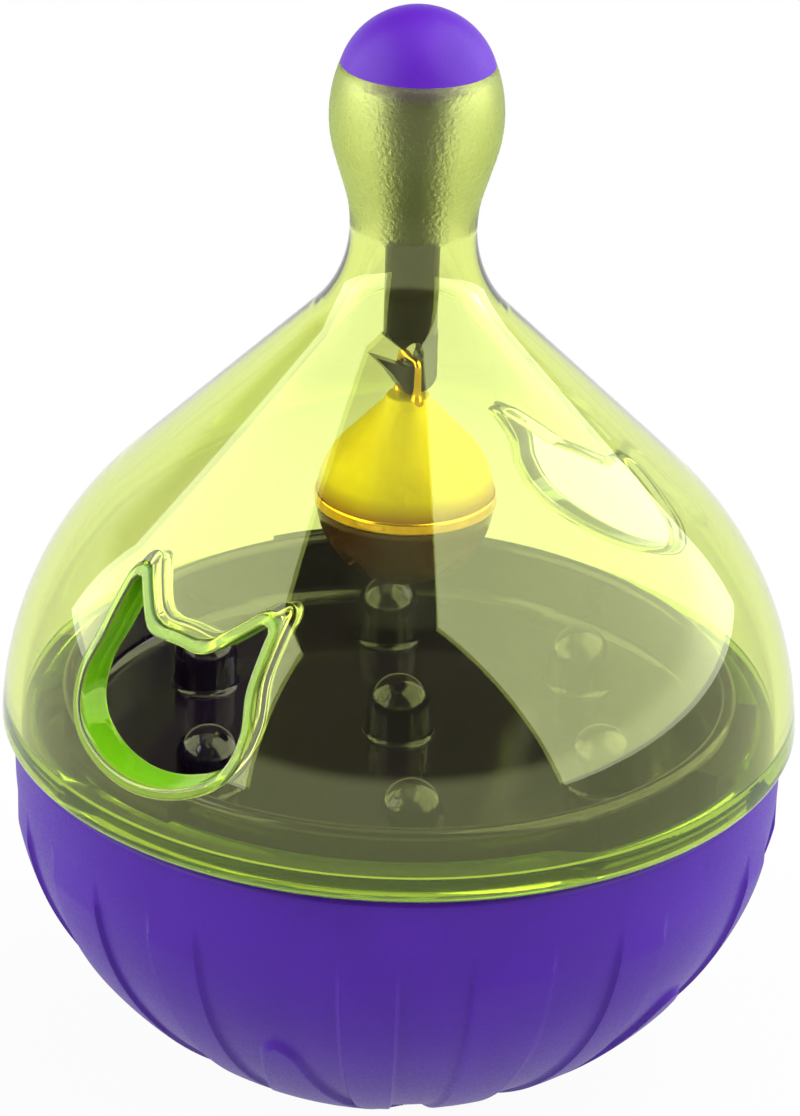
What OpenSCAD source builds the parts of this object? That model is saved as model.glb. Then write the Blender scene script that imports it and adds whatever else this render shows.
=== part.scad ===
// Self-righting treat ball for cats: a weighted bowl, a peg tray, a clear dome with two treat holes,
// and a jingle bell on a hooked post. Millimetres, +Z up, origin at the middle of the foot.

/* [Bowl] */
// Outer radius of the bowl's upright wall
bowl_r = 41.2; // [36:0.2:50]
// Height of the upright wall above the shoulder
upright_h = 4.2; // [3.6:0.2:8]
// Radius of the shoulder arc in section
shoulder_arc = 33; // [24:0.5:35]
// Angle that the shoulder turns through before the round bottom
shoulder_angle = 31.7; // [24:0.1:40]
// Wall of the bowl
bowl_wall = 2.2; // [1.6:0.1:2.8]
// Bevel on the bowl's rim
rim_bevel = 0.6; // [0.3:0.1:0.9]
// Radius of the flat foot
foot_r = 10.4; // [8:0.2:13]
// Width of the ledge that carries the tray
ledge_w = 1.4; // [1:0.1:2]
// Thickness of that ledge
ledge_t = 2; // [1.5:0.1:3]
// Depth of the ledge below the rim
ledge_drop = 2.5; // [2.3:0.1:3]

/* [Ribs and star] */
// Groups of ribs, and points of the star
group_count = 5; // [4:1:6]
// Turn of the pattern about the axis
pattern_turn = -33; // [-90:1:90]
// Angle across the middle rib of a group
middle_rib_angle = 12; // [8:0.5:14]
// Angle across a side rib
side_rib_angle = 8.5; // [6:0.5:10]
// Angle between the middles of neighbouring ribs
rib_pitch = 21; // [18:0.5:22]
// Height of the ribs above the bowl
rib_h = 0.5; // [0.3:0.1:0.8]
// Radius where the ribs end under the star
rib_inner_r = 17; // [14:0.5:20]
// Height of the star above the bowl
star_h = 0.6; // [0.4:0.1:1]
// Radius of the star's points, seen from below
star_tip_r = 36.3; // [30:0.1:38]
// Radius of the star's inner corners
star_valley_r = 18.5; // [17.5:0.5:24]

/* [Counterweight] */
// Radius of the steel disc
weight_r = 15.5; // [12:0.1:16]
// Height of the disc
weight_h = 12; // [8:0.5:15]
// Height of the seat ring under the disc, above the floor that the toy stands on
seat_z = 5; // [5:0.1:7]
// Radius of the seat ring
seat_r = 13; // [11:0.2:14]
// Thickness of the seat ring's wall
seat_wall = 2.4; // [1.6:0.1:3]
// Radius of the screw boss
boss_r = 3.8; // [3.2:0.1:5]
// Room between the boss and the disc's bore
boss_clear = 0.4; // [0.2:0.05:0.8]
// Drop of the boss below the top of the disc
boss_drop = 1.5; // [1:0.1:3]
// Radius of the screw's shank
screw_r = 1.75; // [1.2:0.05:2]
// Length of the screw under its head
screw_len = 11; // [8:0.5:13]
// Radius of the screw's flange head
screw_head_r = 6; // [5.4:0.1:7.5]
// Radius of the head above its flange
screw_top_r = 4; // [3.4:0.1:4.6]
// Height of the screw's head
screw_head_h = 2.6; // [2:0.1:3.5]

/* [Tray] */
// Gap between the collar and the bowl's inner wall
collar_gap = 3; // [2.8:0.1:4]
// Rise of the collar above the bowl's rim
collar_rise = 5.2; // [5:0.1:6]
// Thickness of the collar
collar_t = 1.8; // [1.4:0.1:2.4]
// Depth of the tray below the top of the collar
tray_depth = 7.5; // [7:0.1:8.5]
// Thickness of the floor
floor_t = 2; // [1.5:0.1:3]
// Thickness of the flange on the ledge
flange_t = 2; // [1.5:0.1:2.2]
// Radius of the fillet between floor and collar
tray_fillet = 1.5; // [0.8:0.1:2.5]
// Pegs in the ring round the middle peg
peg_count = 6; // [5:1:7]
// Radius of the ring of pegs
peg_ring_r = 23.8; // [18:0.2:26]
// Turn of the ring of pegs
peg_turn = 13; // [-30:1:30]
// Radius of a peg
peg_r = 3.45; // [2.5:0.05:4.5]
// Height of a peg to the middle of its round top
peg_h = 3.4; // [2.5:0.1:5]
// Radius of the fillet at a peg's foot
peg_fillet = 0.8; // [0.6:0.1:2]

/* [Bayonet] */
// Lugs round the collar
lug_count = 3; // [2:1:4]
// Angle across a lug
lug_angle = 26; // [20:1:32]
// Angle across the stop leg under a lug
leg_angle = 3; // [2:0.5:5]
// Reach of a lug from the collar
lug_reach = 2.2; // [1.6:0.1:2.6]
// Thickness of a lug
lug_t = 1.6; // [1.2:0.1:1.8]
// Turn of the lugs about the axis
lug_turn = 20; // [0:1:60]
// Thickness of the dome's inner ring
ring_t = 2; // [1.6:0.1:2.3]
// Angle that a notch is clear of a lug at either end
notch_clear = 2; // [1.5:0.1:3]

/* [Dome] */
// Reach of the dome past the bowl's wall
bulge_out = 1.4; // [0.8:0.1:2]
// Radius of the bulge in section
bulge_arc = 37.6; // [32:0.2:40]
// Drop of the bulge's centre below the dome's rim
bulge_drop = 1; // [0:0.1:2]
// Rounding of the dome's lower edge
edge_round = 1; // [0.5:0.1:1.5]
// Height of the waist above the dome's rim
waist_h = 55.9; // [50:0.1:62]
// Radius of the neck at the waist
waist_r = 6.55; // [6.2:0.05:8]
// Radius of the waist in section
waist_arc = 13.5; // [10:0.1:16]
// Height of the knob's widest place above the waist
knob_rise = 12; // [11:0.1:14]
// Radius of the knob
knob_r = 8.95; // [8.4:0.05:10]
// Radius of the knob's side in section
knob_arc = 14.5; // [12:0.1:18]
// Height of the knob's top above its widest place
knob_top = 5.4; // [4:0.1:6.5]
// Wall of the dome
dome_wall = 2; // [1.5:0.1:2.4]
// Radius of the seat for the cap's plug
knob_bore_r = 6; // [5.8:0.05:6.4]
// Radius of the tapered hollow in the knob, under that seat
knob_hole_r = 5.6; // [5:0.05:5.7]

/* [Treat holes] */
// Height of a hole's middle above the dome's rim
hole_h = 14.2; // [13.6:0.1:18]
// Half width of the cat head
head_w = 10.4; // [8:0.1:12]
// Half height of the cat head
head_h = 6.6; // [5.6:0.1:7]
// Radius of the cheeks
cheek_r = 5.2; // [4:0.1:5.4]
// Half distance between the ear tips
ear_x = 8.4; // [6.5:0.1:9]
// Height of the ear tips above the middle
ear_y = 9.4; // [8.4:0.1:11]
// Rounding of the ear tips
ear_round = 0.7; // [0.4:0.1:1]
// Inner foot of an ear
ear_in = [2.8, 4.6]; // [0:0.1:8]
// Outer foot of an ear
ear_out = [9.1, 1.4]; // [0:0.1:10]
// Depth of the flange round a hole
hole_flange_depth = 4.4; // [3:0.1:5]
// Thickness of that flange
hole_flange_t = 1.5; // [1:0.1:1.8]
// Height of the raised rim
hole_rim_h = 0.4; // [0.2:0.1:0.8]

/* [Cap and post] */
// Height of the cap above the knob
cap_h = 5.8; // [4:0.1:7]
// Length of the cap's plug in the knob
plug_len = 2; // [1.6:0.1:3]
// Radius of the post's spigot in the cap
spigot_r = 3; // [2.4:0.05:3.4]
// Length of the spigot above the knob's top
spigot_up = 1.6; // [1:0.1:2.5]
// Radius of the post where it tapers in the knob
post_top_r = 4; // [3.5:0.05:4.2]
// Radius of the post below the neck
post_r = 2.8; // [2.4:0.05:3.2]
// Distance from the knob's top down to the bell's pivot
pivot_drop = 32.5; // [29:0.1:36]
// Turn of the hook about the axis
hook_turn = 250; // [0:1:360]
// Thickness of the hook
hook_t = 2; // [1.6:0.1:2.4]
// Radius of the eye in the hook
eye_r = 1.3; // [1.1:0.05:1.5]
// Thickness of the hook above its eye
eye_roof = 1.2; // [1:0.1:1.6]
// Reach of the claw from the axis
claw_reach = 4.6; // [4:0.1:5.5]
// Depth of the hook below the pivot
hook_drop = 3.7; // [3.2:0.1:3.8]

/* [Bell] */
// Radius of the bell
bell_r = 9.4; // [8:0.1:10.5]
// Thickness of the bell's sheet
bell_sheet = 0.7; // [0.5:0.05:1]
// Height of the bell's neck above its middle
bell_neck_h = 11.2; // [10.8:0.1:13]
// Radius of the bell's neck
bell_neck_r = 2.3; // [2.1:0.05:2.6]
// Distance from the pivot down to the bell's neck
loop_h = 4.5; // [4.3:0.1:6]
// Radius of the loop's wire
loop_wire_r = 0.42; // [0.35:0.01:0.5]
// Width of the slots in the bell
slot_w = 1.6; // [1:0.1:2]
// Depth of the slots' round ends below the bell's middle
slot_drop = 6; // [5:0.1:6.5]
// Turn of the slots from the hook
slot_turn = 14; // [0:1:45]
// Radius of the pellet
pellet_r = 2.4; // [1.8:0.1:3]

/* [Fits] */
// Gap between the dome and the bowl, and between their bayonet parts
twist_gap = 0.35; // [0.3:0.05:0.5]
// Gap round pieces that are pushed or glued together
push_gap = 0.1; // [0.05:0.05:0.2]
// Gap round the loop in the eye, and under the pellet
hang_gap = 0.3; // [0.2:0.05:0.4]

/* [Hidden] */
$fn = 96;
cut = 1;                    // how far a cutting shape runs past a face
far = 3 * bowl_r;           // larger than anything here
blend = 0.02;               // arcs and lines that blend cross by this much instead of just touching

// Bowl: the round bottom meets the shoulder where both arcs have one normal
bottom_arc = shoulder_arc + (bowl_r - shoulder_arc) / cos(shoulder_angle);
bottom_z = sqrt(pow(bottom_arc + star_h, 2) - pow(foot_r, 2));
shoulder_x = bowl_r - shoulder_arc;
shoulder_z = bottom_z - (bottom_arc - shoulder_arc) * sin(shoulder_angle);
bowl_h = shoulder_z + upright_h;
bowl_in_r = bowl_r - bowl_wall;
ledge_z = bowl_h - ledge_drop;
rib_fade = 0.05;            // the ribs start this far inside the upright wall, so they fade into it

// Counterweight
weight_top = seat_z + weight_h;
boss_top = weight_top - boss_drop;
pilot_r = screw_r + push_gap / 2;
bore_r = boss_r + boss_clear;
recess_w = screw_r / 2;

// Tray
collar_r = bowl_in_r - collar_gap;
collar_top = bowl_h + collar_rise;
floor_z = collar_top - tray_depth;
flange_r = bowl_in_r - push_gap;

// Bayonet
dome_z = bowl_h + twist_gap;
ring_r = collar_r + 2 * twist_gap;
lug_z = dome_z + ring_t + twist_gap;
lug_r = collar_r + lug_reach;
ring_root = dome_wall / 3;  // how far the dome's ring runs into the dome's wall
notch_angle = lug_angle + 2 * notch_clear;
stop_clear = 1;             // angle left between leg and notch at the locked end
twist = lug_angle + notch_clear - leg_angle - stop_clear;

// Dome
bulge_r = bowl_r + bulge_out;
waist_z = dome_z + waist_h;
knob_z = waist_z + knob_rise;
seam_z = knob_z + knob_top;
bulge_c = [bulge_r - bulge_arc, dome_z - bulge_drop];
waist_c = [waist_r + waist_arc, waist_z];
knob_c = [knob_r - knob_arc, knob_z];
flank_turn = tangent_turn(bulge_c, bulge_arc, waist_c, waist_arc, -1);
neck_turn = tangent_turn(knob_c, knob_arc, waist_c, waist_arc, 1);
seam_r = knob_c.x + sqrt(pow(knob_arc, 2) - pow(knob_top, 2));
hole_z = dome_z + hole_h;
split_z = hole_z + ear_y + ear_round + hole_flange_t + dome_wall;   // plane between the dome's two solids

// Cat head: two cheek circles joined by a flatter crown and chin
cheek_x = head_w - cheek_r;
crown_arc = (pow(cheek_x, 2) + pow(head_h, 2) - pow(cheek_r, 2)) / (2 * (head_h - cheek_r));
crown_y = crown_arc - head_h;

// Cap and post
cap_arc = (pow(seam_r, 2) + pow(cap_h, 2)) / (2 * cap_h);
plug_r = knob_bore_r - push_gap;
plug_z = seam_z - plug_len;
plug_seat_z = plug_z - push_gap;
pivot_z = seam_z - pivot_drop;
eye_z = pivot_z + eye_r - loop_wire_r - hang_gap;
lobe_z = eye_z + eye_r + eye_roof;
neck_in_r = waist_r - dome_wall;
mouth_gap = 0.3;            // the hook's mouth keeps this far from the claw and from the stem

// Bell
bell_z = pivot_z - loop_h - bell_neck_h;
bell_lean = atan2(bell_neck_h, bell_neck_r) - acos(bell_r / norm([bell_neck_r, bell_neck_h]));
loop_x = hook_t / 2 + hang_gap + loop_wire_r;
pellet_z = bell_z - bell_r + bell_sheet + hang_gap + pellet_r;

function unit(a) = [cos(a), sin(a)];
// Turn of the line that touches two circles on opposite sides
function tangent_turn(c1, r1, c2, r2, side) =
    atan2(c2.y - c1.y, c2.x - c1.x) + side * acos(min(1, (r1 + r2) / norm(c2 - c1)));
function normal_of(a, b) = [b.y - a.y, a.x - b.x] / norm(b - a);

// A band of a section between two heights, from the axis out to r
module band(z1, z2, r = far) {
    translate([0, z1]) square([r, z2 - z1]);
}

// Half section of the bowl up to a height, drawn in by inset: round bottom, shoulder and upright wall
module bowl_section(inset, top) {
    joint_z = bottom_z - (bottom_arc - inset) * sin(shoulder_angle);
    intersection() {
        union() {
            intersection() {
                translate([0, bottom_z]) circle(r = bottom_arc - inset - blend);
                band(-far, joint_z);
            }
            translate([shoulder_x, shoulder_z]) circle(r = shoulder_arc - inset);
            band(shoulder_z, top, bowl_r - inset - blend);
        }
        band(-far, top);
    }
}

module bowl_body() {
    rotate_extrude() difference() {
        bowl_section(0, bowl_h);
        translate([bowl_r - rim_bevel, bowl_h]) polygon([[-cut, cut], [rim_bevel + cut, -rim_bevel - cut],
            [rim_bevel + cut, cut]]);
    }
}

module bowl_rib(turn, angle) {
    rotate([0, 0, turn - angle / 2]) rotate_extrude(angle = angle) intersection() {
        bowl_section(-rib_h, bowl_h);
        translate([rib_inner_r, 0]) square([bowl_r - rib_fade - rib_inner_r, shoulder_z]);
    }
}

module star_outline() {
    step = 180 / group_count;
    polygon([for (i = [0 : 2 * group_count - 1]) (i % 2 == 0 ? star_valley_r : star_tip_r) * unit(i * step)]);
}

module bowl_pattern() {
    rotate([0, 0, pattern_turn]) {
        for (i = [0 : group_count - 1]) {
            bowl_rib(i * 360 / group_count, middle_rib_angle);
            bowl_rib(i * 360 / group_count - rib_pitch, side_rib_angle);
            bowl_rib(i * 360 / group_count + rib_pitch, side_rib_angle);
        }
        intersection() {
            translate([0, 0, -far / 2]) linear_extrude(far / 2 + bottom_z / 2) star_outline();
            rotate_extrude() bowl_section(-star_h, bowl_h);
        }
    }
}

module bowl() {
    color("#5a30b0") difference() {
        union() {
            difference() {
                union() {
                    bowl_body();
                    bowl_pattern();
                }
                rotate_extrude() bowl_section(bowl_wall, bowl_h + cut);
                translate([0, 0, -far]) cylinder(r = far, h = far);
            }
            rotate_extrude() translate([bowl_in_r - ledge_w, ledge_z - ledge_t])
                square([ledge_w + bowl_wall / 2, ledge_t]);
            rotate_extrude() intersection() {
                bowl_section(bowl_wall / 2, bowl_h);
                union() {
                    translate([seat_r - seat_wall, 0]) square([seat_wall, seat_z]);
                    square([boss_r, boss_top]);
                }
            }
        }
        translate([0, 0, weight_top - screw_len - push_gap]) cylinder(r = pilot_r, h = screw_len + cut);
    }
}

module counterweight() {
    color("#8d9299") difference() {
        translate([0, 0, seat_z]) cylinder(r = weight_r, h = weight_h);
        translate([0, 0, seat_z - cut]) cylinder(r = bore_r, h = weight_h + 2 * cut);
    }
}

module weight_screw() {
    color("#b9bdc2") union() {
        translate([0, 0, weight_top - screw_len]) cylinder(r = screw_r, h = screw_len + screw_head_h / 2);
        translate([0, 0, weight_top]) difference() {
            union() {
                cylinder(r = screw_head_r, h = screw_head_h / 2);
                cylinder(r = screw_top_r, h = screw_head_h);
            }
            for (a = [0, 90])
                rotate([0, 0, a]) translate([-screw_r, -recess_w / 2, screw_head_h / 2])
                    cube([2 * screw_r, recess_w, screw_head_h]);
        }
    }
}

// Concave fillet between a floor at height 0 and a wall at r, on the wall's outer side
module fillet_section(r, size, root) {
    difference() {
        translate([r - size / 2, -root]) square([size * 3 / 2, size + root]);
        translate([r + size - blend, size - blend]) circle(r = size);
    }
}

module peg_section() {
    root = floor_t / 2;
    translate([0, -root]) square([peg_r - blend, peg_h + root]);
    intersection() {
        translate([0, peg_h]) circle(r = peg_r);
        band(0, peg_h + peg_r);
    }
    fillet_section(peg_r - blend, peg_fillet, root);
}

module tray_section() {
    under = floor_z - floor_t;
    collar_in = collar_r - collar_t;
    translate([0, under]) square([collar_r, floor_t]);
    translate([collar_in, under]) square([collar_t, collar_top - collar_t / 2 - under]);
    translate([collar_r - collar_t / 2, collar_top - collar_t / 2]) circle(r = collar_t / 2 + blend);
    translate([collar_in, ledge_z]) square([flange_r - collar_in, flange_t]);
    translate([2 * collar_in, floor_z]) mirror([1, 0]) fillet_section(collar_in, tray_fillet, floor_t / 2);
}

module bayonet_lug() {
    root = collar_t / 2;
    leg_z = ledge_z + flange_t / 2;
    rotate([0, 0, -lug_angle / 2]) {
        rotate_extrude(angle = lug_angle) translate([collar_r - root, lug_z]) square([lug_reach + root, lug_t]);
        rotate_extrude(angle = leg_angle) translate([collar_r - root, leg_z])
            square([lug_reach + root, lug_z + lug_t / 2 - leg_z]);
    }
}

module tray() {
    color("#4a2a8f") union() {
        rotate_extrude() tray_section();
        translate([0, 0, floor_z]) rotate_extrude() peg_section();
        for (i = [0 : peg_count - 1])
            rotate([0, 0, peg_turn + i * 360 / peg_count]) translate([peg_ring_r, 0, floor_z])
                rotate_extrude() peg_section();
        for (i = [0 : lug_count - 1]) rotate([0, 0, lug_turn + i * 360 / lug_count]) bayonet_lug();
    }
}

// Half section of the dome from z1 to z2, drawn in by inset: bulge, straight flank, waist, neck and knob
module dome_section(inset, z1, z2) {
    bulge = bulge_arc - inset;
    waist = waist_arc + inset;
    knob = knob_arc - inset;
    flank_low = bulge_c + (bulge - blend) * unit(flank_turn);
    flank_top = waist_c - (waist - blend) * unit(flank_turn);
    neck_low = waist_c - (waist - blend) * unit(neck_turn);
    neck_top = knob_c + (knob - blend) * unit(neck_turn);
    lap = cut;
    intersection() {
        difference() {
            union() {
                intersection() {
                    translate(bulge_c) circle(r = bulge);
                    band(dome_z - 2 * cut, flank_low.y + lap);
                }
                polygon([[0, flank_low.y - lap], flank_low, flank_top, neck_low, neck_top,
                    [0, neck_top.y + lap]]);
                intersection() {
                    translate(knob_c) circle(r = knob);
                    band(neck_top.y - lap, seam_z + 2 * cut);
                }
            }
            translate(waist_c) circle(r = waist);
        }
        band(z1, z2);
    }
}

// The dome's wall and knob between two heights, with the knob's tapered hollow and the plug's seat
module dome_shell(z1, z2) {
    edge_z = dome_z + edge_round;
    edge_r = bulge_c.x + sqrt(pow(bulge_arc, 2) - pow(edge_z - bulge_c.y, 2)) - edge_round + blend;
    rotate_extrude() difference() {
        intersection() {
            dome_section(0, z1, z2);
            union() {
                band(edge_z, seam_z + cut);
                band(dome_z - cut, edge_z + edge_round / 2, edge_r);
                translate([edge_r, edge_z - blend]) circle(r = edge_round);
            }
        }
        dome_section(dome_wall, dome_z - cut, waist_z);
        band(plug_seat_z, seam_z + cut, knob_bore_r);
        polygon([[0, waist_z - cut], [neck_in_r, waist_z - cut], [neck_in_r, waist_z], [knob_hole_r, plug_seat_z],
            [knob_hole_r, plug_seat_z + cut], [0, plug_seat_z + cut]]);
    }
}

// Inner ring with a notch for each lug, drawn locked
module bayonet_ring() {
    difference() {
        rotate_extrude() translate([ring_r, dome_z]) square([bulge_r - dome_wall + ring_root - ring_r, ring_t]);
        for (i = [0 : lug_count - 1])
            rotate([0, 0, lug_turn + i * 360 / lug_count - notch_angle / 2 - twist])
                rotate_extrude(angle = notch_angle) translate([ring_r - cut, dome_z - cut])
                    square([lug_r + 2 * twist_gap - ring_r + cut, ring_t + 2 * cut]);
    }
}

// One ear of the cat head: a round tip on two straight sides
module ear_outline(grow) {
    tip = [ear_x, ear_y];
    reach = ear_round + grow - blend;
    inner = reach * normal_of(tip, ear_in);
    outer = reach * normal_of(ear_out, tip);
    translate(tip) circle(r = ear_round + grow);
    polygon([tip + inner, ear_in + inner, ear_out + outer, tip + outer]);
}

module cat_head(grow) {
    tangent_x = crown_arc * cheek_x / norm([cheek_x, crown_y]);
    intersection() {
        translate([0, -crown_y]) circle(r = crown_arc + grow - blend);
        translate([0, crown_y]) circle(r = crown_arc + grow - blend);
        square([2 * tangent_x, far], center = true);
    }
    for (side = [0, 1]) mirror([side, 0]) {
        translate([cheek_x, 0]) circle(r = cheek_r + grow);
        ear_outline(grow);
    }
}

module hole_prism(grow) {
    translate([0, 0, hole_z]) rotate([90, 0, 0]) linear_extrude(bulge_r + cut) cat_head(grow);
}

// Sleeve round a hole, from its raised rim outside the dome to its flange inside
module hole_sleeve() {
    intersection() {
        hole_prism(hole_flange_t);
        rotate_extrude() difference() {
            dome_section(-hole_rim_h, dome_z + ring_t, waist_z);
            dome_section(hole_flange_depth, dome_z, waist_z);
        }
    }
}

module dome() {
    color("#b9e04a", 0.5) difference() {
        union() {
            dome_shell(dome_z, split_z);
            bayonet_ring();
            for (side = [0, 180]) rotate([0, 0, side]) hole_sleeve();
        }
        for (side = [0, 180]) rotate([0, 0, side]) hole_prism(0);
    }
}

// The upper part of the same moulding, from the plane above the holes to the knob's top
module dome_neck() {
    color("#b9e04a", 0.5) dome_shell(split_z, seam_z);
}

module cap() {
    color("#6437c8") difference() {
        rotate_extrude() {
            intersection() {
                translate([0, seam_z + cap_h - cap_arc]) circle(r = cap_arc);
                band(seam_z, seam_z + cap_h + cut);
            }
            band(plug_z, seam_z, plug_r);
        }
        translate([0, 0, plug_z - cut])
            cylinder(r = spigot_r + push_gap / 2, h = plug_len + cut + spigot_up + push_gap);
    }
}

// The hook in its own plane, with the claw along +X and the pivot at the origin
module hook_outline() {
    eye_y = eye_z - pivot_z;
    lobe_y = lobe_z - pivot_z;
    heel = hook_drop / 2;
    claw_root = [eye_r / 2, eye_y - eye_r];
    claw_tip = [claw_reach, eye_y + eye_r / 2];
    claw_belly = [claw_tip.x + claw_root.x, -heel] / 2;
    difference() {
        union() {
            translate([-post_r, -heel]) square([2 * post_r - heel, lobe_y + heel]);
            translate([heel - post_r, -heel]) circle(r = heel);
            polygon([[heel - post_r, -hook_drop], [claw_root.x, -hook_drop], claw_belly, claw_tip, claw_root,
                [heel - post_r, 0]]);
            translate([0, eye_y]) square([post_r, lobe_y - eye_y]);
        }
        translate([0, eye_y]) circle(r = eye_r);
        polygon([claw_root + [0, mouth_gap], claw_tip + [cut, mouth_gap], [post_r, lobe_y - mouth_gap],
            [eye_r - mouth_gap, eye_y + mouth_gap]]);
    }
}

module bell_post() {
    color("#3d2470") union() {
        translate([0, 0, waist_z]) cylinder(r1 = post_r, r2 = post_top_r, h = plug_z - push_gap - waist_z);
        translate([0, 0, plug_z - push_gap - cut])
            cylinder(r = spigot_r, h = plug_len + push_gap + cut + spigot_up);
        translate([0, 0, lobe_z]) cylinder(r = post_r, h = waist_z - lobe_z);
        translate([0, 0, pivot_z]) rotate([0, 0, hook_turn]) rotate([90, 0, 0]) translate([0, 0, -hook_t / 2])
            linear_extrude(hook_t) hook_outline();
    }
}

// Half section of the bell, drawn in by inset: a ball under a cone, with its middle at height 0
module bell_section(inset) {
    lean = unit(bell_lean);
    neck = [bell_neck_r, bell_neck_h] - inset * lean;
    intersection() {
        circle(r = bell_r - inset);
        band(-far, far);
    }
    polygon([[0, 0], (bell_r - inset - blend) * lean, neck, [0, neck.y]]);
}

module bell_shell() {
    color("#e6b422") translate([0, 0, bell_z]) difference() {
        rotate_extrude() bell_section(0);
        rotate_extrude() intersection() {
            bell_section(bell_sheet);
            band(-far, bell_neck_h - 2 * bell_sheet);
        }
        for (a = [0, 90]) rotate([0, 0, hook_turn + slot_turn + a]) {
            translate([-far / 2, -slot_w / 2, -far]) cube([far, slot_w, far - slot_drop]);
            for (side = [-90, 90]) translate([0, 0, -slot_drop]) rotate([0, side, 0])
                cylinder(r = slot_w, h = bell_r + cut);
        }
    }
}

// Staple of round wire, its bar on the pivot
module bell_loop() {
    color("#d9a520") translate([0, 0, pivot_z]) rotate([0, 0, hook_turn + 90]) union() {
        for (side = [-1, 1]) {
            translate([side * loop_x, 0, -loop_h]) cylinder(r = loop_wire_r, h = loop_h);
            translate([side * loop_x, 0, 0]) sphere(r = loop_wire_r);
        }
        translate([-loop_x, 0, 0]) rotate([0, 90, 0]) cylinder(r = loop_wire_r, h = 2 * loop_x);
    }
}

module bell_pellet() {
    color("#6b6f75") translate([0, 0, pellet_z]) sphere(r = pellet_r);
}

bowl();
counterweight();
weight_screw();
tray();
dome();
dome_neck();
cap();
bell_post();
bell_shell();
bell_loop();
bell_pellet();
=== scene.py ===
import math

import bmesh
import bpy
import numpy as np
from mathutils import Matrix, Quaternion, Vector
from mathutils.geometry import delaunay_2d_cdt
from mathutils.kdtree import KDTree


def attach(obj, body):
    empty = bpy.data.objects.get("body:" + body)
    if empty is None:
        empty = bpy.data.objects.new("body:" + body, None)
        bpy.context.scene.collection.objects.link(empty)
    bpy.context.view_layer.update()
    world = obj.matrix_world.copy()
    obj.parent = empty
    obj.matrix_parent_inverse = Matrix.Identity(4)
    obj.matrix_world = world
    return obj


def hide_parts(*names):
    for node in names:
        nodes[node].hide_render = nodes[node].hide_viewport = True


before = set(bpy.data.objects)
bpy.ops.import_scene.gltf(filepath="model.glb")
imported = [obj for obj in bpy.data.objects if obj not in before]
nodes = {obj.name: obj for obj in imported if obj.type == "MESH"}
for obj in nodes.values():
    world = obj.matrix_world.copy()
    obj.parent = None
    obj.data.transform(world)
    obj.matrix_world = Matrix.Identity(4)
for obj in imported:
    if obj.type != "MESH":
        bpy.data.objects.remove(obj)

mm = 0.001
scene = bpy.context.scene
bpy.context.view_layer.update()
print("frame loaded:", ", ".join(sorted(nodes)))

# camera, fitted to the photo's outline
shot = {
    "azimuth": 39.2,            # degrees round the toy from the front hole
    "elevation": 27.0,
    "roll": 1.75,
    "distance": 480.0,          # mm from the aim point
    "aimHeight": 43.2,          # mm above the floor
    "frame": (800, 1116),       # the photo, pixels
    "focal": 4459.0,            # pixels
    "aimAt": (399.2, 695.6),    # where the aim point falls, pixels
    "sensor": 36,               # mm
    "clipStart": 0.01,          # metres
}


def skyward(azimuth, elevation):
    az, el = math.radians(azimuth), math.radians(elevation)
    return Vector((math.sin(az) * math.cos(el), -math.cos(az) * math.cos(el), math.sin(el)))


def addCamera():
    lens = bpy.data.cameras.new("photoCamera")
    lens.sensor_width = shot["sensor"]
    lens.lens = shot["focal"] * lens.sensor_width / shot["frame"][1]
    lens.clip_start = shot["clipStart"]
    camera = bpy.data.objects.new("photoCamera", lens)
    scene.collection.objects.link(camera)
    back = skyward(shot["azimuth"], shot["elevation"])
    camera.location = Vector((0, 0, shot["aimHeight"] * mm)) + back * shot["distance"] * mm
    aside = math.atan((shot["aimAt"][0] - shot["frame"][0] / 2) / shot["focal"])
    below = math.atan((shot["aimAt"][1] - shot["frame"][1] / 2) / shot["focal"])
    turn = back.to_track_quat("Z", "Y") @ Quaternion((0, 0, 1), math.radians(shot["roll"]))
    turn = turn @ Quaternion((1, 0, 0), below) @ Quaternion((0, 1, 0), aside)
    camera.rotation_mode = "QUATERNION"
    camera.rotation_quaternion = turn
    scene.camera = camera


addCamera()
print("camera set")

# studio: white low down all round and higher behind the toy, a dim room, a pale ceiling, two big softboxes
studio = {
    "middle": (0, 0, 65 * mm),  # softboxes are placed round this point
    "room": ((0.88, 0.10), (0.98, 1.30)),       # sine of the elevation, brightness
    "backdrop": ((0.20, 1.0), (0.30, 0.0)),     # the same for the white all round
    "sweep": ((0.18, 1.0), (0.36, 0.0)),        # the same for the white behind the toy
    "sweepSide": (-0.05, 0.30),                 # how far round that comes: cosine from straight behind
    "floorHalf": 2.0,           # metres
    "floorDrop": 0.05 * mm,     # just under the foot
    "floorColour": (0.58, 0.58, 0.58, 1),
    "floorWhite": 0.95,         # share of plain white seen on the floor, the rest takes the shadow
}
softboxes = {
    # a corner, the top of its upright edge and the far end of its lower edge,
    # each as azimuth from the camera, elevation and metres
    "rightSoftbox": {"corner": (47, 5.5, 1.12), "top": (22, 64, 1.48), "far": (130, 2, 1.20),
                     "radiance": 3.5},
    "leftSoftbox": {"corner": (-41.6, 3, 1.20), "top": (-40, 47, 1.77), "far": (-122, 3, 0.94),
                    "radiance": 3.5},
}
noiseRange = (0.3, 0.7)         # most of a noise lies between these
toneStops = (0.35, 0.65)        # where a mottled finish leaves one tone and reaches the other


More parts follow.
